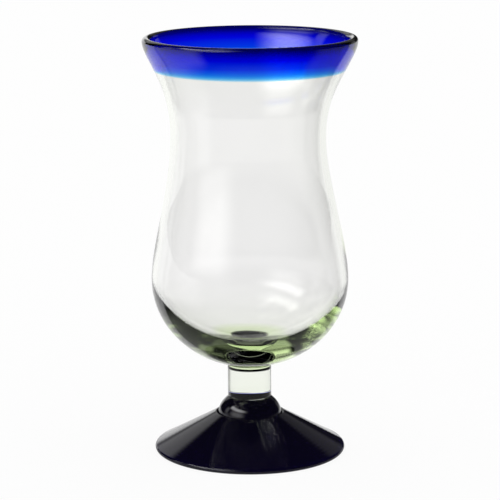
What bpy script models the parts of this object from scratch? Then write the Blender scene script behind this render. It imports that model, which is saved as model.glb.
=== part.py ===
"""Hand-blown hurricane glass: a clear bowl with a cobalt lip, a clear stem, a cobalt bead and a cobalt foot.

Five gathers of glass, each turned about the Z axis and seated on the one below it.
Metres, +Z up, with the origin on the table under the middle of the foot.
"""

import math

import bpy

# Foot: a cone with a dished crown, hollowed underneath so that it stands on a ring
FOOT_RADIUS = 0.0458
FOOT_HEIGHT = 0.0182
FOOT_EDGE_ROUND = 0.00125
FOOT_LAND_WIDTH = 0.003
FOOT_HOLLOW_HEIGHT = 0.0068
CROWN_WIDTH = 0.0012

# Knop: a flattened ball, cut flat where it sits in the crown and where the stem stands on it
KNOP_RADIUS = 0.0154
KNOP_HALF_HEIGHT = 0.0118
KNOP_SINK = 0.0012
KNOP_SEAT_DROP = 0.005

# Stem: a short post with a rounded shoulder under the bowl, tapered into the knop
STEM_LENGTH = 0.01465
STEM_RADIUS = 0.0105
STEM_FOOT_RADIUS = 0.0097
STEM_TAPER_HEIGHT = 0.004
SHOULDER_WIDTH = 0.00035
SHOULDER_HEIGHT = 0.0009

# Bowl: a short neck, a round belly, a waist and a flared mouth, with a wall that thickens upwards
NECK_RADIUS = 0.0106
NECK_FLARE = 0.0045
NECK_HEIGHT = 0.0025
BELLY_RADIUS = 0.0471
DOME_DEPTH = 0.0423
WAIST_RADIUS = 0.0369
WAIST_RISE = 0.0697
LIP_RADIUS = 0.0507
LIP_RISE = 0.0442
BASE_THICKNESS = 0.0074
FLOOR_TAPER = 1.11
FLOOR_RISE = 0.0008
FLOOR_RISE_RADIUS = 0.009
BELLY_WALL = 0.0018
WAIST_WALL = 0.0025
LIP_WALL = 0.0042

# How far the wall runs on upright from each of its three turning points before it bends
BELLY_SWEEP = 0.0164
WAIST_SWEEP_DOWN = 0.0229
WAIST_SWEEP_UP = 0.0232
LIP_SWEEP = 0.0078

# Rim wrap: cobalt glass lapped over the tapered edge of the bowl and carried up to the lip
WRAP_HEIGHT = 0.016
LAP_HEIGHT = 0.006
LAP_EDGE = 0.0005

# Space left between two gathers where they seat on each other
JOINT_GAP = 0.0003

# Fineness of the facets
SEGMENTS = 48
DOME_STEPS = 10
WALL_STEPS = 9
FLARE_STEPS = 9
ROUND_STEPS = 6
KNOP_STEPS = 12
DISH_STEPS = 5
HOLLOW_STEPS = 7
MERGE_DISTANCE = 0.00001

# Heights above the table, worked up from one seat to the next
KNOP_EQUATOR = FOOT_HEIGHT - KNOP_SINK
KNOP_SEAT = KNOP_EQUATOR - KNOP_SEAT_DROP
KNOP_TOP_ANGLE = math.acos(STEM_FOOT_RADIUS / KNOP_RADIUS)
KNOP_TOP = KNOP_EQUATOR + KNOP_HALF_HEIGHT * math.sin(KNOP_TOP_ANGLE)
STEM_SEAT = KNOP_TOP + JOINT_GAP
BOWL_SEAT = STEM_SEAT + STEM_LENGTH + JOINT_GAP

# Heights above the bowl's own seat
DOME_END_ANGLE = math.acos((NECK_RADIUS + NECK_FLARE) / BELLY_RADIUS)
BELLY_HEIGHT = NECK_HEIGHT + DOME_DEPTH * math.sin(DOME_END_ANGLE)
WAIST_HEIGHT = BELLY_HEIGHT + WAIST_RISE
LIP_HEIGHT = WAIST_HEIGHT + LIP_RISE
LAP_BOTTOM = LIP_HEIGHT + LIP_WALL / 2 - WRAP_HEIGHT
LAP_TOP = LAP_BOTTOM + LAP_HEIGHT


def arc(centre, radii, start, end, steps):
    """Points on an ellipse about centre, from one angle in radians to another, both included."""
    points = []
    for step in range(steps + 1):
        angle = start + (end - start) * step / steps
        points.append((centre[0] + radii[0] * math.cos(angle), centre[1] + radii[1] * math.sin(angle)))
    return points


def upright_sweep(low, low_sweep, high, high_sweep, steps):
    """A cubic curve that leaves its low end and reaches its high end upright, both ends included."""
    points = []
    for step in range(steps + 1):
        u = step / steps
        near_low = (1 - u) ** 3 + 3 * u * (1 - u) ** 2
        radius = low[0] * near_low + high[0] * (1 - near_low)
        low_pull = 3 * u * (1 - u) ** 2 * low_sweep
        high_pull = 3 * u ** 2 * (1 - u) * high_sweep
        level = low[1] * near_low + high[1] * (1 - near_low) + low_pull - high_pull
        points.append((radius, level))
    return points


def rising_wall(belly_radius, waist_radius, lip_radius):
    """One face of the bowl's wall, from the belly over the waist up to the lip."""
    belly = (belly_radius, BELLY_HEIGHT)
    waist = (waist_radius, WAIST_HEIGHT)
    lip = (lip_radius, LIP_HEIGHT)
    lower = upright_sweep(belly, BELLY_SWEEP, waist, WAIST_SWEEP_DOWN, WALL_STEPS)
    upper = upright_sweep(waist, WAIST_SWEEP_UP, lip, LIP_SWEEP, FLARE_STEPS)
    return lower + upper[1:]


def outer_wall():
    """The outside of the wall."""
    return rising_wall(BELLY_RADIUS, WAIST_RADIUS, LIP_RADIUS)


def inner_wall():
    """The inside of the wall, set in by the wall's thickness at the belly, the waist and the lip."""
    return rising_wall(BELLY_RADIUS - BELLY_WALL, WAIST_RADIUS - WAIST_WALL, LIP_RADIUS - LIP_WALL)


def radius_at(wall, level):
    """The radius of a rising wall at a level, between the two points that it lies between."""
    for low, high in zip(wall, wall[1:]):
        if low[1] <= level <= high[1]:
            share = (level - low[1]) / (high[1] - low[1])
            return low[0] + share * (high[0] - low[0])
    raise ValueError("the wall does not reach this level")


def below(wall, level):
    """The stretch of a rising wall under a level, ended on it."""
    kept = [point for point in wall if point[1] < level - JOINT_GAP]
    return kept + [(radius_at(wall, level), level)]


def above(wall, level):
    """The stretch of a rising wall over a level, started on it."""
    kept = [point for point in wall if point[1] > level + JOINT_GAP]
    return [(radius_at(wall, level), level)] + kept


def lap_face(clearance):
    """The slanted seat of the lip wrap, from the inner shoulder down to the outer one."""
    inner_shoulder = radius_at(inner_wall(), LAP_TOP) + LAP_EDGE
    outer_shoulder = radius_at(outer_wall(), LAP_BOTTOM) - LAP_EDGE
    return [
        (inner_shoulder + clearance, LAP_TOP + clearance),
        (outer_shoulder + clearance, LAP_BOTTOM + clearance),
    ]


def foot_outline():
    """The dish for the knop, the crown, the cone, the rounded edge, the resting ring and the hollow."""
    floor = KNOP_SEAT - JOINT_GAP
    dish_radii = (KNOP_RADIUS + JOINT_GAP, KNOP_HALF_HEIGHT + JOINT_GAP)
    floor_angle = -math.asin((KNOP_EQUATOR - floor) / dish_radii[1])
    dish = arc((0.0, KNOP_EQUATOR), dish_radii, floor_angle, 0.0, DISH_STEPS)
    crown_round = CROWN_WIDTH / 2
    crown_centre = (dish_radii[0] + crown_round, FOOT_HEIGHT - crown_round)
    edge_centre = (FOOT_RADIUS - FOOT_EDGE_ROUND, FOOT_EDGE_ROUND)
    run = edge_centre[0] - crown_centre[0]
    fall = edge_centre[1] - crown_centre[1]
    lean = math.acos((crown_round - FOOT_EDGE_ROUND) / math.hypot(run, fall))
    cone_angle = math.atan2(fall, run) + lean
    crown = arc(crown_centre, (crown_round, crown_round), math.pi, cone_angle, ROUND_STEPS)
    edge = arc(edge_centre, (FOOT_EDGE_ROUND, FOOT_EDGE_ROUND), cone_angle, -math.pi / 2, ROUND_STEPS)
    hollow_radius = edge_centre[0] - FOOT_LAND_WIDTH
    hollow = arc((0.0, 0.0), (hollow_radius, FOOT_HOLLOW_HEIGHT), 0.0, math.pi / 2, HOLLOW_STEPS)
    return [(0.0, floor)] + dish + crown + edge + hollow


def knop_outline():
    """The flat that the stem stands on, the ball's side and the flat that it sits on, at height 0."""
    seat_angle = -math.asin(KNOP_SEAT_DROP / KNOP_HALF_HEIGHT)
    radii = (KNOP_RADIUS, KNOP_HALF_HEIGHT)
    side = arc((0.0, KNOP_SEAT_DROP), radii, KNOP_TOP_ANGLE, seat_angle, KNOP_STEPS)
    return [(0.0, side[0][1])] + side + [(0.0, side[-1][1])]


def stem_outline():
    """The top flat, the shoulder, the straight post and the taper into the knop, from height 0 up."""
    shoulder_centre = (STEM_RADIUS - SHOULDER_WIDTH, STEM_LENGTH - SHOULDER_HEIGHT)
    shoulder = arc(shoulder_centre, (SHOULDER_WIDTH, SHOULDER_HEIGHT), math.pi / 2, 0.0, ROUND_STEPS)
    taper_centre = (STEM_FOOT_RADIUS, STEM_TAPER_HEIGHT)
    taper_radii = (STEM_RADIUS - STEM_FOOT_RADIUS, STEM_TAPER_HEIGHT)
    taper = arc(taper_centre, taper_radii, 0.0, -math.pi / 2, ROUND_STEPS)
    return [(0.0, STEM_LENGTH)] + shoulder + taper + [(0.0, 0.0)]


def inner_floor():
    """The inside from the middle of the floor up to the belly: an ellipse made more pointed by the taper,
    with its middle pushed up a little."""
    depth = BELLY_HEIGHT - BASE_THICKNESS
    points = [(0.0, BASE_THICKNESS + FLOOR_RISE)]
    for step in range(1, DOME_STEPS + 1):
        angle = math.pi / 2 * (step / DOME_STEPS - 1)
        radius = (BELLY_RADIUS - BELLY_WALL) * math.cos(angle) ** FLOOR_TAPER
        rise = FLOOR_RISE * math.exp(-((radius / FLOOR_RISE_RADIUS) ** 2))
        points.append((radius, BELLY_HEIGHT + depth * math.sin(angle) + rise))
    return points


def bowl_outline():
    """The inside up to the lap, the lap, the outside down to the neck and the neck's seat, at height 0."""
    outer_dome = arc((0.0, BELLY_HEIGHT), (BELLY_RADIUS, DOME_DEPTH), 0.0, -DOME_END_ANGLE, DOME_STEPS)
    neck_centre = (NECK_RADIUS + NECK_FLARE, 0.0)
    neck = arc(neck_centre, (NECK_FLARE, NECK_HEIGHT), math.pi / 2, math.pi, ROUND_STEPS)
    inside = inner_floor()[:-1] + below(inner_wall(), LAP_TOP)
    outside = below(outer_wall(), LAP_BOTTOM)[::-1] + outer_dome[1:] + neck[1:]
    return inside + lap_face(0.0) + outside + [(0.0, 0.0)]


def rim_wrap_outline():
    """The rounded lip, the outside down to the lap, the lap and the inside, in the bowl's own heights."""
    lip_round = LIP_WALL / 2
    lip = arc((LIP_RADIUS - lip_round, LIP_HEIGHT), (lip_round, lip_round), math.pi, 0.0, ROUND_STEPS)
    outside = above(outer_wall(), LAP_BOTTOM + JOINT_GAP)[::-1]
    inside = above(inner_wall(), LAP_TOP + JOINT_GAP)
    return lip + outside[1:] + lap_face(JOINT_GAP)[::-1] + inside[:-1]


def glass(name, colour, roughness):
    """A see-through glass of one colour."""
    material = bpy.data.materials.new(name)
    material.use_nodes = True
    shader = material.node_tree.nodes["Principled BSDF"]
    shader.inputs["Base Color"].default_value = (*colour, 1.0)
    shader.inputs["Roughness"].default_value = roughness
    shader.inputs["Metallic"].default_value = 0.0
    shader.inputs["IOR"].default_value = 1.52
    shader.inputs["Transmission Weight"].default_value = 1.0
    return material


def turned(name, outline, material, height, collection, carrier):
    """One closed body: an outline at +X swept once round the Z axis and lifted to its height."""
    mesh = bpy.data.meshes.new(name)
    points = [(radius, 0.0, level) for radius, level in outline]
    edges = [(index, index + 1) for index in range(len(points) - 1)]
    is_ring = min(radius for radius, level in outline) > MERGE_DISTANCE
    if is_ring:
        edges.append((len(points) - 1, 0))
    mesh.from_pydata(points, edges, [])
    mesh.materials.append(material)
    piece = bpy.data.objects.new(name, mesh)
    piece.location.z = height
    piece.parent = carrier
    screw = piece.modifiers.new("turned", "SCREW")
    screw.axis = "Z"
    screw.steps = SEGMENTS
    screw.render_steps = SEGMENTS
    screw.use_merge_vertices = True
    screw.merge_threshold = MERGE_DISTANCE
    screw.use_smooth_shade = True
    collection.objects.link(piece)
    return piece


def build():
    """Clear the scene and stack the five gathers under one carrier."""
    for old in list(bpy.data.objects):
        bpy.data.objects.remove(old, do_unlink=True)
    collection = bpy.data.collections.new("hurricane_glass")
    bpy.context.scene.collection.children.link(collection)
    carrier = bpy.data.objects.new("glass_axis", None)
    collection.objects.link(carrier)

    clear_bowl = glass("clear_bowl_glass", (0.92, 0.95, 0.92), 0.03)
    clear_stem = glass("clear_stem_glass", (0.9, 0.95, 0.88), 0.03)
    cobalt_rim = glass("cobalt_rim_glass", (0.0, 0.01, 0.55), 0.03)
    cobalt_knop = glass("cobalt_knop_glass", (0.0, 0.005, 0.2), 0.03)
    cobalt_foot = glass("cobalt_foot_glass", (0.0, 0.003, 0.08), 0.03)

    turned("foot", foot_outline(), cobalt_foot, 0.0, collection, carrier)
    turned("knop", knop_outline(), cobalt_knop, KNOP_SEAT, collection, carrier)
    turned("stem", stem_outline(), clear_stem, STEM_SEAT, collection, carrier)
    turned("bowl", bowl_outline(), clear_bowl, BOWL_SEAT, collection, carrier)
    turned("rim_wrap", rim_wrap_outline(), cobalt_rim, BOWL_SEAT, collection, carrier)


build()
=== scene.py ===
"""Looks of the hurricane glass: fine blown-glass surfaces, clear and cobalt glass, and a white studio.

Each piece is a profile carried once round the upright axis on a numpy grid, then bent a little as blown
glass is. Where two gathers are fused, the faces that meet let light straight through.
"""
import math

import bpy
import numpy as np
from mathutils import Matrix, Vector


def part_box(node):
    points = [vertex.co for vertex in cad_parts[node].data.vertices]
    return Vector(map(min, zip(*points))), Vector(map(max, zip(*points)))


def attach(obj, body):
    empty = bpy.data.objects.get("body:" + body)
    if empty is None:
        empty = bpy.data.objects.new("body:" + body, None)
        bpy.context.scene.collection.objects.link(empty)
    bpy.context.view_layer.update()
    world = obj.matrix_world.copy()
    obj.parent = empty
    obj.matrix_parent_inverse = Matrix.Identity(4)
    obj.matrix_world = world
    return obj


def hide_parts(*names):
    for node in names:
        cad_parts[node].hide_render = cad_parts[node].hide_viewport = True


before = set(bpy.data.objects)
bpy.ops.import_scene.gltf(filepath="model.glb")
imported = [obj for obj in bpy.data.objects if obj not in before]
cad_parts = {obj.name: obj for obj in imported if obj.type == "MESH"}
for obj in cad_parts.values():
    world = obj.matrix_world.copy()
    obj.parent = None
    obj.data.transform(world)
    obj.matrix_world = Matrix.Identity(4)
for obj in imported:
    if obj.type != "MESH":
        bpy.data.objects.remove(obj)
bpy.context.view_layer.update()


def reach(node):
    """Half the width of a node."""
    low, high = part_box(node)
    return (high.x - low.x) / 2


def span(node):
    """Lowest and highest level of a node."""
    low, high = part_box(node)
    return low.z, high.z


# Sizes read from the frame
FOOT_RADIUS = reach("foot")
CROWN_LEVEL = span("foot")[1]
KNOP_RADIUS = reach("knop")
KNOP_SEAT, KNOP_TOP = span("knop")
STEM_SEAT = span("stem")[0]
STEM_RADIUS = reach("stem")
BELLY_RADIUS = reach("bowl")
BOWL_SEAT, LAP_TOP = span("bowl")
LIP_RADIUS = reach("rim_wrap")
LAP_BOTTOM, LIP_TOP = span("rim_wrap")

# Blown walls, in metres
NECK_RADIUS = 0.0106
NECK_FLARE = 0.0004
NECK_HEIGHT = 0.00144
DOME_DEPTH = 0.0423
DOME_END = math.acos((NECK_RADIUS + NECK_FLARE) / BELLY_RADIUS)
BELLY_LEVEL = BOWL_SEAT + NECK_HEIGHT + DOME_DEPTH * math.sin(DOME_END)
FLOOR_LEVEL = BOWL_SEAT + 0.00716
FLOOR_TAPER = 1.12
FLOOR_RISE = 0.0003
FLOOR_RISE_RADIUS = 0.0053
WAIST_RADIUS = 0.0369
WAIST_LEVEL = BELLY_LEVEL + 0.0697
BELLY_WALL = 0.002
WAIST_WALL = 0.0025
LIP_WALL = 0.0039
LIP_LEVEL = LIP_TOP - LIP_WALL / 2
BELLY_SWEEP = 0.0164
WAIST_SWEEP_DOWN = 0.0229
WAIST_SWEEP_UP = 0.0232
LIP_SWEEP = 0.0078
INNER_LIP_SWEEP = 0.0035
LAP_EDGE = 0.0002

# Stem, bead and foot, in metres
STEM_FOOT_RADIUS = 0.0102
STEM_TAPER = 0.0006
SHOULDER_WIDTH = 0.0001
SHOULDER_HEIGHT = 0.0009
KNOP_EQUATOR = CROWN_LEVEL - 0.0012
KNOP_HALF_HEIGHT = 0.0118
KNOP_JOINT = 0.01
FOOT_EDGE_ROUND = 0.00125
FOOT_LAND = 0.003
FOOT_HOLLOW = 0.0068
CROWN_WIDTH = 0.0012
DISH_GAP = 0.0003
SEAT_OVERLAP = 0.00002

# Ripples of the blown wall: waves round it, radians to the metre of level, share of the phase, and weight
RIPPLES = ((3, 60, 1.0, 1.0), (5, -130, 2.1, 0.7), (2, 210, 0.7, 0.5))
INSIDE_PHASE = 0.6
OUTSIDE_PHASE = 3.9

# Marks of the hand, in metres
RIPPLE_HEIGHT = 0.00016
RIPPLE_START = 0.012
RIPPLE_FADE = 0.02
THICK_SIDE = 0.0004
LIP_DROP = 0.0005
WAIST_LEAN = 0.0008
WAIST_LEAN_HEIGHT = 0.03
WAIST_LEAN_FADE = 0.02
STEM_LEAN = 0.0003
STEM_LEAN_LEVEL = STEM_SEAT + 0.01
STEM_LEAN_HEIGHT = 0.012

# Marks of the tools on the foot: metres, a count, and radians
RING_HEIGHT = 0.00001
RING_SPACING = 0.00175
FACET_HEIGHT = 0.00003
FACETS = 9
FACET_TURN = 0.8
TOOLED_FROM = KNOP_RADIUS + 0.003
TOOLED_FADE = 0.004
TOOLED_EDGE_FADE = 0.002
TOOLED_ABOVE = 0.003

# Glass: its refraction, and its marks in metres, cells to the metre, shares of a cell, and colour
GLASS_IOR = 1.52
TINT_WANDER = 0.0016
TINT_CELLS_PER_METRE = 28
SEEDS_PER_METRE = 80
SEED_SIZE = 0.03
SEED_TINT = (0.6, 0.62, 0.6)

# Fineness of the grids: points round the axis, rows along each run, metres and degrees
TURNS = 256
WALL_STEPS = 60
INNER_DOME_STEPS = 80
OUTER_DOME_STEPS = 60
NECK_STEPS = 8
BOWL_SEAT_STEPS = 8
LAP_STEPS = 16
LIP_STEPS = 32
ROUND_STEPS = 16
FLAT_STEPS = 12
KNOP_STEPS = 60
DISH_STEPS = 20
CONE_STEPS = 150
EDGE_STEPS = 24
HOLLOW_STEPS = 40
ROW_CLEARANCE = 0.0001
AXIS_CLEARANCE = 1e-9
SHARP_ANGLE = 40

# Camera, from the photograph's outline: metres, degrees, and millimetres of lens and sensor
CAMERA_PLACE = (0.0, -1.042, 0.316)
CAMERA_PITCH = 11.837
CAMERA_LENS = 160.74
CAMERA_SENSOR = 36.0
CAMERA_CLIP = (0.05, 100.0)

# Bounces of light that the nested glass needs
BOUNCES = 32
GLOSSY_BOUNCES = 16


def arc(centre, radii, start, end, steps):
    """Ellipse about centre from one angle to another in degrees: (radius, level) rows."""
    angle = np.radians(np.linspace(start, end, steps + 1))
    return np.stack([centre[0] + radii[0] * np.cos(angle), centre[1] + radii[1] * np.sin(angle)], 1)


def upright_sweep(low, low_sweep, high, high_sweep, steps):
    """Cubic curve that leaves its low end and reaches its high end upright: (radius, level) rows."""
    u = np.linspace(0.0, 1.0, steps + 1)
    near_low = (1 - u) ** 3 + 3 * u * (1 - u) ** 2
    radius = low[0] * near_low + high[0] * (1 - near_low)
    pull = 3 * u * (1 - u) ** 2 * low_sweep - 3 * u ** 2 * (1 - u) * high_sweep
    level = low[1] * near_low + high[1] * (1 - near_low) + pull
    return np.stack([radius, level], 1)


def line(start, end, steps):
    """Straight run of rows from start to end, the end left out."""
    share = np.linspace(0.0, 1.0, steps, endpoint=False)[:, None]
    return np.array(start) + share * (np.array(end) - np.array(start))


def flat(edge, steps):
    """Level run of rows from an edge in to the axis, both included."""
    middle = (0.0, edge[1])
    return np.concatenate([line(edge, middle, steps), [middle]])


def rising_wall(belly, waist, lip, lip_sweep):
    """One face of the bowl's wall: two upright sweeps, belly to waist and waist to lip."""
    belly_row, waist_row, lip_row = (belly, BELLY_LEVEL), (waist, WAIST_LEVEL), (lip, LIP_LEVEL)
    lower = upright_sweep(belly_row, BELLY_SWEEP, waist_row, WAIST_SWEEP_DOWN, WALL_STEPS)
    upper = upright_sweep(waist_row, WAIST_SWEEP_UP, lip_row, lip_sweep, WALL_STEPS)
    return np.concatenate([lower, upper[1:]])


INNER_BELLY_RADIUS = BELLY_RADIUS - BELLY_WALL
INNER_WAIST_RADIUS = WAIST_RADIUS - WAIST_WALL
INNER_LIP_RADIUS = LIP_RADIUS - LIP_WALL
OUTER_WALL = rising_wall(BELLY_RADIUS, WAIST_RADIUS, LIP_RADIUS, LIP_SWEEP)
INNER_WALL = rising_wall(INNER_BELLY_RADIUS, INNER_WAIST_RADIUS, INNER_LIP_RADIUS, INNER_LIP_SWEEP)


def radius_at(wall, level):
    """Radius of a rising wall at a level."""
    return float(np.interp(level, wall[:, 1], wall[:, 0]))


def below(wall, level):
    """Rows of a rising wall under a level, ended on it."""
    return np.concatenate([wall[wall[:, 1] < level - ROW_CLEARANCE], [[radius_at(wall, level), level]]])


def above(wall, level):
    """Rows of a rising wall over a level, started on it."""
    return np.concatenate([[[radius_at(wall, level), level]], wall[wall[:, 1] > level + ROW_CLEARANCE]])


def lap_face(lift):
    """Slanted seat of the lip wrap, from its inner edge down to its outer one, raised by lift."""
    inner = (radius_at(INNER_WALL, LAP_TOP) + LAP_EDGE, LAP_TOP + lift)
    outer = (radius_at(OUTER_WALL, LAP_BOTTOM) - LAP_EDGE, LAP_BOTTOM + lift)
    return np.concatenate([line(inner, outer, LAP_STEPS), [outer]])


def turned(name, profile, fused_rows, material, closed_ring=False, worked=None):
    """A profile of (radius, level) rows carried round the axis: point (r cos a, r sin a, z) for each row
    and each of TURNS angles, after worked, where given, has moved the radii and levels. A row of radius 0
    is one pole point with a fan of triangles. Rows whose number is in fused_rows carry the value 1 in the
    point attribute "fused"."""
    rows = len(profile)
    angle = np.linspace(0.0, 2 * math.pi, TURNS, endpoint=False)
    radius = np.repeat(profile[:, :1], TURNS, axis=1)
    level = np.repeat(profile[:, 1:], TURNS, axis=1)
    if worked:
        radius, level = worked(radius, level, angle)
    points = np.stack([radius * np.cos(angle), radius * np.sin(angle), level], 2).reshape(-1, 3)
    index = np.arange(rows * TURNS).reshape(rows, TURNS)
    on_axis = profile[:, 0] == 0.0
    index[on_axis] = index[on_axis][:, :1]
    upper = index if closed_ring else index[:-1]
    lower = np.roll(index, -1, axis=0) if closed_ring else index[1:]
    next_upper, next_lower = np.roll(upper, -1, axis=1), np.roll(lower, -1, axis=1)
    quads = np.stack([upper, lower, next_lower, next_upper], 2).reshape(-1, 4)
    fused = np.zeros((rows, TURNS), np.float32)
    fused[fused_rows] = 1.0
    return glass_piece(name, points, quads, fused.ravel(), material)


def glass_piece(name, points, quads, fused, material):
    """Mesh from points and quads; a quad with two equal corners, next to a pole, becomes a triangle."""
    used, quads = np.unique(quads, return_inverse=True)
    quads = quads.reshape(-1, 4)
    upper_pole = quads[:, 0] == quads[:, 3]
    lower_pole = quads[:, 1] == quads[:, 2]
    faces = quads[~upper_pole & ~lower_pole].tolist()
    faces += quads[upper_pole][:, :3].tolist()
    faces += quads[lower_pole][:, [0, 1, 3]].tolist()
    mesh = bpy.data.meshes.new(name)
    mesh.from_pydata(blown(points[used]).tolist(), [], faces)
    mesh.shade_smooth()
    mesh.set_sharp_from_angle(angle=math.radians(SHARP_ANGLE))
    mark = mesh.attributes.new("fused", "FLOAT", "POINT")
    mark.data.foreach_set("value", fused[used])
    mesh.materials.append(material)
    piece = bpy.data.objects.new(name, mesh)
    bpy.context.scene.collection.objects.link(piece)
    return piece


def ripples(angle, level, phase):
    """Slow ripples of blown glass: the weighted mean, between -1 and 1, of sine waves that climb round the
    wall, sin(waves a + climb z + share of the phase)."""
    height = sum(weight * np.sin(waves * angle + climb * level + share * phase)
                 for waves, climb, share, weight in RIPPLES)
    return height / sum(weight for *_, weight in RIPPLES)


def worked_bowl(radius, level, angle):
    """Ripples on both faces of the bowl, not the same inside and out, and a wall that is thicker on the
    right: the radius loses a share of RIPPLE_HEIGHT, and inside also THICK_SIDE times (1 + cos a) / 2.
    Both fade out towards the base and the lap."""
    inside = (np.arange(len(level)) <= np.argmax(level[:, 0]))[:, None]
    fade = np.clip((level - FLOOR_LEVEL - RIPPLE_START) / RIPPLE_FADE, 0.0, 1.0)
    fade = fade * np.clip((LAP_BOTTOM - level) / RIPPLE_FADE, 0.0, 1.0)
    ripple = np.where(inside, ripples(angle, level, INSIDE_PHASE), ripples(angle, level, OUTSIDE_PHASE))
    thick = np.where(inside, THICK_SIDE * (1 + np.cos(angle)) / 2, 0.0)
    return radius - fade * (RIPPLE_HEIGHT * (1 + ripple) / 2 + thick), level


def worked_foot(radius, level, angle):
    """Tooling marks on the cone: the level loses fine rings, sin(2 pi r / spacing), and shallow facets that
    widen outwards, cos(FACETS a), both fading at the crown and the edge. The last rows, which are the
    hollow, stay as they are."""
    fade = np.clip((radius - TOOLED_FROM) / TOOLED_FADE, 0.0, 1.0)
    fade = fade * np.clip((FOOT_RADIUS - FOOT_EDGE_ROUND - radius) / TOOLED_EDGE_FADE, 0.0, 1.0)
    outside = (np.arange(len(level)) < len(level) - HOLLOW_STEPS - 1)[:, None]
    tooled = fade * (outside & (level > TOOLED_ABOVE))
    rings = (1 + np.sin(2 * math.pi * radius / RING_SPACING)) / 2
    facets = (1 + np.cos(FACETS * angle + FACET_TURN)) / 2 * radius / FOOT_RADIUS
    return radius, level - tooled * (RING_HEIGHT * rings + FACET_HEIGHT * facets)


def blown(points):
    """The hand-blown lean: a smooth bell of side shift at the waist and at the stem, and a lip that drops
    towards the left with the square of the height above the waist."""
    x, y, z = points.T
    waist_bell = np.exp(-((z - WAIST_LEVEL) / WAIST_LEAN_HEIGHT) ** 2)
    waist_bell = waist_bell * np.clip((LAP_TOP - z) / WAIST_LEAN_FADE, 0.0, 1.0)
    stem_bell = np.exp(-((z - STEM_LEAN_LEVEL) / STEM_LEAN_HEIGHT) ** 2)
    shift = -WAIST_LEAN * waist_bell - STEM_LEAN * stem_bell
    left = (1 - x / np.maximum(np.hypot(x, y), AXIS_CLEARANCE)) / 2
    drop = LIP_DROP * left * np.clip((z - WAIST_LEVEL) / (LIP_TOP - WAIST_LEVEL), 0.0, 1.0) ** 2
    return np.stack([x + shift, y, z - drop], 1)


def bowl_profile():
    """Inside from the floor up to the lap, the lap, and the outside down over the neck to the seat. One row
    more, SEAT_OVERLAP outside the joint, ends the fused part of the seat sharply."""
    centre = (0.0, BELLY_LEVEL)
    inner_dome = arc(centre, (1.0, BELLY_LEVEL - FLOOR_LEVEL), -90, 0, INNER_DOME_STEPS)
    inner_dome[:, 0] = INNER_BELLY_RADIUS * np.clip(inner_dome[:, 0], 0, 1) ** FLOOR_TAPER
    inner_dome[:, 1] += FLOOR_RISE * np.exp(-(inner_dome[:, 0] / FLOOR_RISE_RADIUS) ** 2)
    outer_dome = arc(centre, (BELLY_RADIUS, DOME_DEPTH), 0, -math.degrees(DOME_END), OUTER_DOME_STEPS)
    neck = arc((NECK_RADIUS + NECK_FLARE, BOWL_SEAT), (NECK_FLARE, NECK_HEIGHT), 90, 180, NECK_STEPS)
    inside = np.concatenate([inner_dome[:-1], below(INNER_WALL, LAP_TOP)])
    lap = lap_face(0.0)
    outside = np.concatenate([below(OUTER_WALL, LAP_BOTTOM)[::-1], outer_dome[1:], neck[1:]])
    joint = STEM_RADIUS - SHOULDER_WIDTH
    seat = flat((joint, BOWL_SEAT), BOWL_SEAT_STEPS)
    profile = np.concatenate([inside, lap, outside, [[joint + SEAT_OVERLAP, BOWL_SEAT]], seat])
    profile[0, 0] = 0.0
    lap_rows = np.arange(len(inside), len(inside) + len(lap))
    seat_rows = np.arange(len(profile) - len(seat), len(profile))
    return profile, np.concatenate([lap_rows, seat_rows])


def rim_profile():
    """The rounded lip, the outside down to the lap, the lap, and the inside up again."""
    lip_round = LIP_WALL / 2
    lip = arc((LIP_RADIUS - lip_round, LIP_LEVEL), (lip_round, lip_round), 180, 0, LIP_STEPS)
    outside = above(OUTER_WALL, LAP_BOTTOM)[::-1][1:]
    lap = lap_face(SEAT_OVERLAP)[::-1]
    inside = above(INNER_WALL, LAP_TOP)[:-1]
    profile = np.concatenate([lip, outside, lap, inside])
    first = len(lip) + len(outside)
    return profile, np.arange(first, first + len(lap))


def stem_profile():
    """Top flat, rounded shoulder, post, taper and bottom flat."""
    top = BOWL_SEAT - SEAT_OVERLAP
    bottom = KNOP_TOP + SEAT_OVERLAP
    shoulder_centre = (STEM_RADIUS - SHOULDER_WIDTH, top - SHOULDER_HEIGHT)
    shoulder = arc(shoulder_centre, (SHOULDER_WIDTH, SHOULDER_HEIGHT), 90, 0, ROUND_STEPS)
    taper_radii = (STEM_RADIUS - STEM_FOOT_RADIUS, STEM_TAPER)
    taper = arc((STEM_FOOT_RADIUS, bottom + STEM_TAPER), taper_radii, 0, -90, ROUND_STEPS)
    head = flat(shoulder[0], FLAT_STEPS)[1:][::-1]
    tail = flat(taper[-1], FLAT_STEPS)[1:]
    profile = np.concatenate([head, shoulder, taper, tail])
    top_rows = np.arange(len(head) + 1)
    bottom_rows = np.arange(len(profile) - len(tail) - 1, len(profile))
    return profile, np.concatenate([top_rows, bottom_rows])


def knop_profile():
    """Flat under the stem, fused as far out as KNOP_JOINT, the ball's side, and the flat it sits on."""
    top_angle = math.degrees(math.asin((KNOP_TOP - KNOP_EQUATOR) / KNOP_HALF_HEIGHT))
    seat_angle = math.degrees(math.asin((KNOP_SEAT - KNOP_EQUATOR) / KNOP_HALF_HEIGHT))
    side = arc((0.0, KNOP_EQUATOR), (KNOP_RADIUS, KNOP_HALF_HEIGHT), top_angle, seat_angle, KNOP_STEPS)
    head = flat(side[0], FLAT_STEPS)[1:][::-1]
    tail = flat(side[-1], FLAT_STEPS)[1:]
    under_stem = int(np.argmax(side[:, 0] > KNOP_JOINT))
    return np.concatenate([head, side, tail]), np.arange(len(head) + under_stem)


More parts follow.
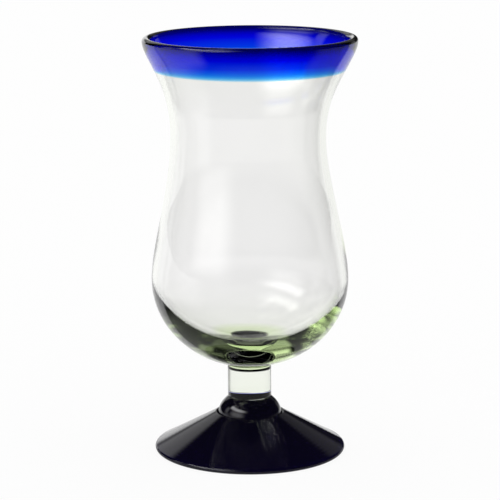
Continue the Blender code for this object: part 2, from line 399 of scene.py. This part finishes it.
def foot_profile():
    """Dish, crown, cone, rounded edge, resting ring and hollow. The cone is the straight line that touches
    the rounds of the crown and the edge."""
    dish_radii = (KNOP_RADIUS + DISH_GAP, KNOP_HALF_HEIGHT + DISH_GAP)
    floor_angle = math.degrees(math.asin((KNOP_SEAT - DISH_GAP - KNOP_EQUATOR) / dish_radii[1]))
    dish = arc((0.0, KNOP_EQUATOR), dish_radii, floor_angle, 0, DISH_STEPS)
    crown_round = CROWN_WIDTH / 2
    crown_centre = (dish_radii[0] + crown_round, CROWN_LEVEL - crown_round)
    edge_centre = (FOOT_RADIUS - FOOT_EDGE_ROUND, FOOT_EDGE_ROUND)
    run = edge_centre[0] - crown_centre[0]
    fall = edge_centre[1] - crown_centre[1]
    lean = math.acos((crown_round - FOOT_EDGE_ROUND) / math.hypot(run, fall))
    cone_angle = math.degrees(math.atan2(fall, run) + lean)
    crown = arc(crown_centre, (crown_round, crown_round), 180, cone_angle, ROUND_STEPS)
    edge = arc(edge_centre, (FOOT_EDGE_ROUND, FOOT_EDGE_ROUND), cone_angle, -90, EDGE_STEPS)
    cone = line(crown[-1], edge[0], CONE_STEPS)[1:]
    hollow = arc((0.0, 0.0), (edge_centre[0] - FOOT_LAND, FOOT_HOLLOW), 0, 90, HOLLOW_STEPS)
    head = flat(dish[0], FLAT_STEPS)[1:][::-1]
    profile = np.concatenate([head, dish, crown, cone, edge, hollow])
    profile[-1, 0] = 0.0
    return profile, np.arange(0)


def joined(tree, operation, first, second):
    """A math node of two inputs, each a number or a socket."""
    node = tree.nodes.new("ShaderNodeMath")
    node.operation = operation
    for socket, value in zip(node.inputs, (first, second)):
        if isinstance(value, (int, float)):
            socket.default_value = value
        else:
            tree.links.new(value, socket)
    return node.outputs[0]


def product(tree, first, *others):
    """All the values multiplied together."""
    for other in others:
        first = joined(tree, "MULTIPLY", first, other)
    return first


def total(tree, first, *others):
    """All the values added together."""
    for other in others:
        first = joined(tree, "ADD", first, other)
    return first


def largest(tree, first, *others):
    """The largest of the values."""
    for other in others:
        first = joined(tree, "MAXIMUM", first, other)
    return first


def rise(tree, value, start, end, kind="SMOOTHSTEP"):
    """A step of a socket's value from 0 at start to 1 at end, smooth unless kind says LINEAR."""
    node = tree.nodes.new("ShaderNodeMapRange")
    node.interpolation_type = kind
    tree.links.new(value, node.inputs["Value"])
    node.inputs["From Min"].default_value = start
    node.inputs["From Max"].default_value = end
    return node.outputs["Result"]


def window(tree, value, low, high, soft):
    """1 between low and high, 0 outside, with soft edges."""
    up = rise(tree, value, low - soft, low + soft)
    down = rise(tree, value, high + soft, high - soft)
    return product(tree, up, down)


def split(tree, vector):
    """X, Y and Z of a vector."""
    node = tree.nodes.new("ShaderNodeSeparateXYZ")
    tree.links.new(vector, node.inputs[0])
    return node.outputs


def degrees(tree, radians):
    """An angle in degrees."""
    return product(tree, radians, math.degrees(1.0))


def bearing(tree, x, y):
    """Degrees round from +Y towards +X."""
    return degrees(tree, joined(tree, "ARCTAN2", x, y))


def blend(tree, share, first, second):
    """Surface that goes over from the first shader to the second as share goes from 0 to 1."""
    mix = tree.nodes.new("ShaderNodeMixShader")
    for socket, source in zip(mix.inputs, (share, first.outputs[0], second.outputs[0])):
        tree.links.new(source, socket)
    tree.links.new(mix.outputs[0], tree.nodes["Material Output"].inputs["Surface"])


def in_the_glass(tree):
    """1 for what the glass shows or reflects, and the light path."""
    path = tree.nodes.new("ShaderNodeLightPath")
    return largest(tree, path.outputs["Is Glossy Ray"], path.outputs["Is Transmission Ray"]), path


def tint_by_level(tree, tints):
    """A colour that follows the level of the point, which wanders a little: tints are (level in metres,
    colour) from low to high."""
    place = tree.nodes.new("ShaderNodeTexCoord").outputs["Object"]
    noise = tree.nodes.new("ShaderNodeTexNoise")
    tree.links.new(place, noise.inputs["Vector"])
    noise.inputs["Scale"].default_value = TINT_CELLS_PER_METRE
    noise.inputs["Detail"].default_value = 1.0
    wander = product(tree, joined(tree, "SUBTRACT", noise.outputs["Fac"], 0.5), TINT_WANDER)
    low, high = tints[0][0], tints[-1][0]
    share = rise(tree, total(tree, split(tree, place)["Z"], wander), low, high, "LINEAR")
    ramp = tree.nodes.new("ShaderNodeValToRGB")
    tree.links.new(share, ramp.inputs["Fac"])
    marks = ramp.color_ramp.elements
    while len(marks) < len(tints):
        marks.new(0.5)
    for mark, (level, colour) in zip(marks, tints):
        mark.position = (level - low) / (high - low)
        mark.color = (*colour, 1.0)
    return ramp.outputs["Color"]


def seeds(tree, tint):
    """A tint with seeds, the small bubbles left in blown glass: dark dots at the middles of a few cells."""
    place = tree.nodes.new("ShaderNodeTexCoord").outputs["Object"]
    cells = tree.nodes.new("ShaderNodeTexVoronoi")
    cells.inputs["Scale"].default_value = SEEDS_PER_METRE
    tree.links.new(place, cells.inputs["Vector"])
    dot = rise(tree, cells.outputs["Distance"], 0.5 * SEED_SIZE, SEED_SIZE)
    mix = tree.nodes.new("ShaderNodeMix")
    mix.data_type = "RGBA"
    mix.inputs["A"].default_value = (*SEED_TINT, 1.0)
    tree.links.new(dot, mix.inputs["Factor"])
    tree.links.new(tint, mix.inputs["B"])
    return mix.outputs["Result"]


def glass(name, passed, density, tints, milk=0.0, seeded=False):
    """Glass coloured by the light that its body lets pass, at a density to the metre, and by a skin whose
    tint follows the level. The share milk of the light is scattered back. Faces marked as fused let light
    straight through."""
    material = bpy.data.materials.new(name)
    material.use_nodes = True
    tree = material.node_tree
    shader = tree.nodes["Principled BSDF"]
    shader.inputs["Roughness"].default_value = 0.0
    shader.inputs["IOR"].default_value = GLASS_IOR
    shader.inputs["Transmission Weight"].default_value = 1.0 - milk
    tint = tint_by_level(tree, tints)
    tree.links.new(seeds(tree, tint) if seeded else tint, shader.inputs["Base Color"])
    fused = tree.nodes.new("ShaderNodeAttribute")
    fused.attribute_name = "fused"
    through = tree.nodes.new("ShaderNodeBsdfTransparent")
    blend(tree, joined(tree, "GREATER_THAN", fused.outputs["Fac"], 0.5), shader, through)
    body = tree.nodes.new("ShaderNodeVolumeAbsorption")
    body.inputs["Color"].default_value = (*passed, 1.0)
    body.inputs["Density"].default_value = density
    tree.links.new(body.outputs[0], tree.nodes["Material Output"].inputs["Volume"])
    return material


# Clear bowl: green in the thick base, and over it a skin that takes the green cast out
BOWL_GLASS = dict(
    passed=(0.52, 0.76, 0.05),
    density=11.0,
    tints=(
        (BOWL_SEAT, (0.66, 0.84, 0.4)),
        (BOWL_SEAT + 0.003, (0.8, 0.92, 0.6)),
        (BOWL_SEAT + 0.0055, (0.992, 0.984, 1.0)),
    ),
    seeded=True,
)

# Cobalt lip: clear where it laps the bowl, almost black at its rounded edge, partly the deep colour of
# thick cobalt and partly painted shade that the rounded bead shows
RIM_GLASS = dict(
    passed=(0.0, 0.68, 0.98),
    density=2200.0,
    tints=(
        (LAP_BOTTOM, (1.0, 1.0, 1.0)),
        (LAP_BOTTOM + 0.005, (0.7, 0.8, 1.0)),
        (LAP_TOP + 0.004, (0.01, 0.02, 0.9)),
        (LIP_LEVEL - 0.0028, (0.008, 0.002, 0.76)),
        # Painted shade on the rounded bead from here up, over the deep cobalt
        (LIP_LEVEL - 0.0006, (0.01, 0.0, 0.3)),
        (LIP_LEVEL + 0.0006, (0.002, 0.0, 0.08)),
        (LIP_TOP, (0.0, 0.0, 0.04)),
    ),
)

# Clear stem: a little greener at its foot, with a painted shade line, black, just under the bowl where the
# crease between them falls in shade
STEM_GLASS = dict(
    passed=(0.5, 0.7, 0.2),
    density=5.0,
    tints=(
        (STEM_SEAT, (0.96, 0.98, 0.92)),
        (BOWL_SEAT - 0.0017, (1.0, 1.0, 0.98)),
        # Painted shade of the crease under the bowl: black from here up to the seat
        (BOWL_SEAT - 0.0013, (0.0, 0.0, 0.0)),
        (BOWL_SEAT, (0.0, 0.0, 0.0)),
    ),
)

# Navy bead and foot: a little paler towards the thin edge
DARK_GLASS = dict(
    passed=(0.0, 0.1, 0.93),
    density=10000.0,
    tints=(
        (0.0, (0.02, 0.01, 0.1)),
        (KNOP_TOP, (0.02, 0.016, 0.06)),
    ),
    milk=0.1,
)

# Studio seen in the glass: degrees of azimuth from straight behind towards the right, and of elevation
PAST_DOWN = -100
BACKDROP = dict(sides=(-35, 32), side_soft=3, heights=(14, 36), height_soft=4)
BACKDROP_STRENGTH = (0.6, 0.12)
BACKDROP_TURN = (-8, 14)
LEFT_FLAT = dict(sides=(-32, 1), side_soft=3, heights=(PAST_DOWN, 10), height_soft=4, strength=1.2)
RIGHT_FLAT = dict(sides=(29, 44), side_soft=3, heights=(PAST_DOWN, 13), height_soft=5, strength=0.28)
LEFT_WALL = dict(sides=(-88, -74), side_soft=4, heights=(10, 30), height_soft=5, strength=0.85)
LOW_LEFT = dict(sides=(-98, -75), side_soft=6, heights=(PAST_DOWN, 10), height_soft=4, strength=0.4)
LOW_BOX = dict(sides=(-152, -106), side_soft=14, heights=(4, 28), height_soft=8, strength=1.6)
CEILING = dict(sides=(-131, -80), side_soft=6, heights=(61, 80), height_soft=5, strength=1.2)
FAR_ROOM = dict(sides=(76, 104), side_soft=8, heights=(PAST_DOWN, 6), height_soft=4, strength=0.6)
BOX_CORE = (-82, -92)
BOX_FADE = (-176, -131)
BOX_RISE = (27, 39)
BOX_FALL = (50, 40)
BOX_STRENGTH = 5.6
DARK_STRENGTH = 0.015


def panel(tree, azimuth, elevation, sides, side_soft, heights, height_soft, strength):
    """Brightness of a panel of directions, 0 outside it."""
    across = window(tree, azimuth, *sides, side_soft)
    return product(tree, across, window(tree, elevation, *heights, height_soft), strength)


def studio_light(tree, path):
    """Brightness of the studio by direction: a backdrop over a dark gap between two flats, a pale wall and
    a soft box on the left, some light from the ceiling on that side, and a dark room around them. Through
    the glass only, the far room on the right is pale."""
    x, y, z = split(tree, tree.nodes.new("ShaderNodeTexCoord").outputs["Generated"])
    azimuth = bearing(tree, x, y)
    elevation = degrees(tree, joined(tree, "ARCSINE", z, 0.0))
    left, right = BACKDROP_STRENGTH
    to_right = rise(tree, azimuth, *BACKDROP_TURN)
    backdrop_strength = total(tree, product(tree, to_right, right - left), left)
    backdrop = panel(tree, azimuth, elevation, **BACKDROP, strength=backdrop_strength)
    box_across = product(tree, rise(tree, azimuth, *BOX_CORE), rise(tree, azimuth, *BOX_FADE))
    box_along = product(tree, rise(tree, elevation, *BOX_RISE), rise(tree, elevation, *BOX_FALL))
    box = product(tree, box_across, box_along, BOX_STRENGTH)
    far_room = panel(tree, azimuth, elevation, **FAR_ROOM)
    far_room = product(tree, far_room, path.outputs["Is Transmission Ray"])
    light = total(tree, backdrop, box, far_room, DARK_STRENGTH)
    for lit in (LEFT_FLAT, RIGHT_FLAT, LEFT_WALL, LOW_LEFT, LOW_BOX, CEILING):
        light = total(tree, light, panel(tree, azimuth, elevation, **lit))
    return light


def studio():
    """White background for the camera, and the studio in the glass."""
    world = bpy.data.worlds.new("studio")
    bpy.context.scene.world = world
    world.use_nodes = True
    tree = world.node_tree
    in_glass, path = in_the_glass(tree)
    plain = joined(tree, "SUBTRACT", 1.0, in_glass)
    strength = total(tree, product(tree, studio_light(tree, path), in_glass), plain)
    tree.links.new(strength, tree.nodes["Background"].inputs["Strength"])
    tree.nodes["Background"].inputs["Color"].default_value = (1.0, 1.0, 1.0, 1.0)


# Table seen in the glass: metres from the foot, and degrees as above
SHEET_SIDES = (-62, 7)
SHEET_SOFT = 9
FAR_RIGHT_SIDES = (7, 52)
FAR_RIGHT_STRENGTH = 0.92
FAR_SOFT = 4
# Painted shadow round the foot: in the glass the table behind is dark up to the first distance and bright
# past the second
SHEET_SHADOW_EDGE = (0.046, 0.056)
CLOSE_SHEET_SIDES = (-55, 54)
CLOSE_SHEET_FALL = (0.45, 0.2)
LEFT_SHEET_SIDES = (-124, -60)
LEFT_SHEET_RISE = (0.16, 0.24)
LEFT_SHEET_STRENGTH = 0.8
NEAR_SHEET_FALL = (0.2, 0.1)
NEAR_SHEET_STRENGTH = 0.4
RIGHT_SHEET_SIDES = (28, 105)
RIGHT_SHEET_STRENGTH = 0.2
FRONT_SHEET_SIDES = (-84, 84)
FRONT_SHEET_RISE = (0.12, 0.24)
FRONT_SHEET_STRENGTH = 0.6
# Painted shadow under the foot: the table's glow is nothing up to the first distance
FOOT_SHADE = (0.036, 0.047)

# Table itself: metres, a count, and shares of white
TABLE_RADIUS = 30.0
TABLE_SIDES = 96
TABLE_WHITE = (0.9, 0.9, 0.9, 1.0)
TABLE_GLOW = 0.9


def sheet_light(tree, path):
    """Brightness of the table by place, as the glass shows it: white behind, pale on the left, dim on
    the right and close in front, and a painted shadow under the foot and just round it. Far in front it
    is pale, but only through the glass."""
    place = tree.nodes.new("ShaderNodeTexCoord").outputs["Object"]
    x, y, _ = split(tree, place)
    azimuth = bearing(tree, x, y)
    length = tree.nodes.new("ShaderNodeVectorMath")
    length.operation = "LENGTH"
    tree.links.new(place, length.inputs[0])
    away = length.outputs["Value"]
    close = window(tree, azimuth, *CLOSE_SHEET_SIDES, SHEET_SOFT)
    close = product(tree, close, rise(tree, away, *CLOSE_SHEET_FALL))
    far_right = product(tree, window(tree, azimuth, *FAR_RIGHT_SIDES, FAR_SOFT), FAR_RIGHT_STRENGTH)
    far = total(tree, window(tree, azimuth, *SHEET_SIDES, FAR_SOFT), far_right)
    behind = product(tree, largest(tree, far, close), rise(tree, away, *SHEET_SHADOW_EDGE))
    left = window(tree, azimuth, *LEFT_SHEET_SIDES, SHEET_SOFT)
    left = product(tree, left, rise(tree, away, *LEFT_SHEET_RISE), LEFT_SHEET_STRENGTH)
    near = product(tree, rise(tree, away, *NEAR_SHEET_FALL), NEAR_SHEET_STRENGTH)
    right = product(tree, window(tree, azimuth, *RIGHT_SHEET_SIDES, SHEET_SOFT), RIGHT_SHEET_STRENGTH)
    front = joined(tree, "SUBTRACT", 1.0, window(tree, azimuth, *FRONT_SHEET_SIDES, SHEET_SOFT))
    front = product(tree, front, rise(tree, away, *FRONT_SHEET_RISE), FRONT_SHEET_STRENGTH)
    front = product(tree, front, path.outputs["Is Transmission Ray"])
    light = largest(tree, behind, left, right, near, front)
    return product(tree, light, rise(tree, away, *FOOT_SHADE))


def table():
    """Wide round floor: white to the camera and in the glass, with a share of plain matt white that keeps
    the shadow. A ring of points and one fan of triangles."""
    angle = np.linspace(0.0, 2 * math.pi, TABLE_SIDES, endpoint=False)
    ring = np.stack([np.cos(angle), np.sin(angle), 0 * angle], 1) * TABLE_RADIUS
    number = np.arange(TABLE_SIDES)
    middle = np.full(TABLE_SIDES, TABLE_SIDES)
    fan = np.stack([middle, number, np.roll(number, -1)], 1)
    mesh = bpy.data.meshes.new("table")
    mesh.from_pydata(np.concatenate([ring, [[0.0, 0.0, 0.0]]]).tolist(), [], fan.tolist())
    floor = bpy.data.objects.new("table", mesh)
    bpy.context.scene.collection.objects.link(floor)
    material = bpy.data.materials.new("table_white")
    material.use_nodes = True
    tree = material.node_tree
    shader = tree.nodes["Principled BSDF"]
    shader.inputs["Base Color"].default_value = TABLE_WHITE
    shader.inputs["Roughness"].default_value = 1.0
    shader.inputs["Specular IOR Level"].default_value = 0.0
    glow = tree.nodes.new("ShaderNodeEmission")
    in_glass, path = in_the_glass(tree)
    strength = largest(tree, path.outputs["Is Camera Ray"], sheet_light(tree, path))
    tree.links.new(strength, glow.inputs["Strength"])
    to_camera = product(tree, path.outputs["Is Camera Ray"], TABLE_GLOW)
    blend(tree, largest(tree, to_camera, in_glass), shader, glow)
    mesh.materials.append(material)


def camera():
    """Camera at the photograph's place and angle."""
    data = bpy.data.cameras.new("camera")
    data.lens = CAMERA_LENS
    data.sensor_width = CAMERA_SENSOR
    data.clip_start, data.clip_end = CAMERA_CLIP
    eye = bpy.data.objects.new("camera", data)
    eye.location = CAMERA_PLACE
    eye.rotation_euler = (math.radians(90 - CAMERA_PITCH), 0.0, 0.0)
    bpy.context.scene.collection.objects.link(eye)
    bpy.context.scene.camera = eye


def main():
    """The five pieces, each with its profile, glass, slot, whether it is a closed ring, and its hand marks;
    then the studio, the table, the camera and the light's bounces."""
    clear = glass("clear_glass", **BOWL_GLASS)
    stem_glass = glass("stem_glass", **STEM_GLASS)
    rim_glass = glass("cobalt_rim_glass", **RIM_GLASS)
    dark_glass = glass("cobalt_foot_glass", **DARK_GLASS)
    pieces = {
        "bowl": (bowl_profile, clear, "clear_bowl", False, worked_bowl),
        "rim_wrap": (rim_profile, rim_glass, "cobalt_rim", True, None),
        "stem": (stem_profile, stem_glass, "clear_stem", False, None),
        "knop": (knop_profile, dark_glass, "cobalt_knop", False, None),
        "foot": (foot_profile, dark_glass, "cobalt_foot", False, worked_foot),
    }
    for node, (profile_of, material, slot, ring, worked) in pieces.items():
        profile, fused_rows = profile_of()
        piece = turned("glass_" + node, profile, fused_rows, material, ring, worked)
        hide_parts(node)
        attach(piece, "root")
    studio()
    table()
    camera()
    scene = bpy.context.scene
    scene.view_settings.view_transform = "Standard"
    scene.cycles.max_bounces = BOUNCES
    scene.cycles.transmission_bounces = BOUNCES
    scene.cycles.glossy_bounces = GLOSSY_BOUNCES
    scene.cycles.transparent_max_bounces = BOUNCES


main()
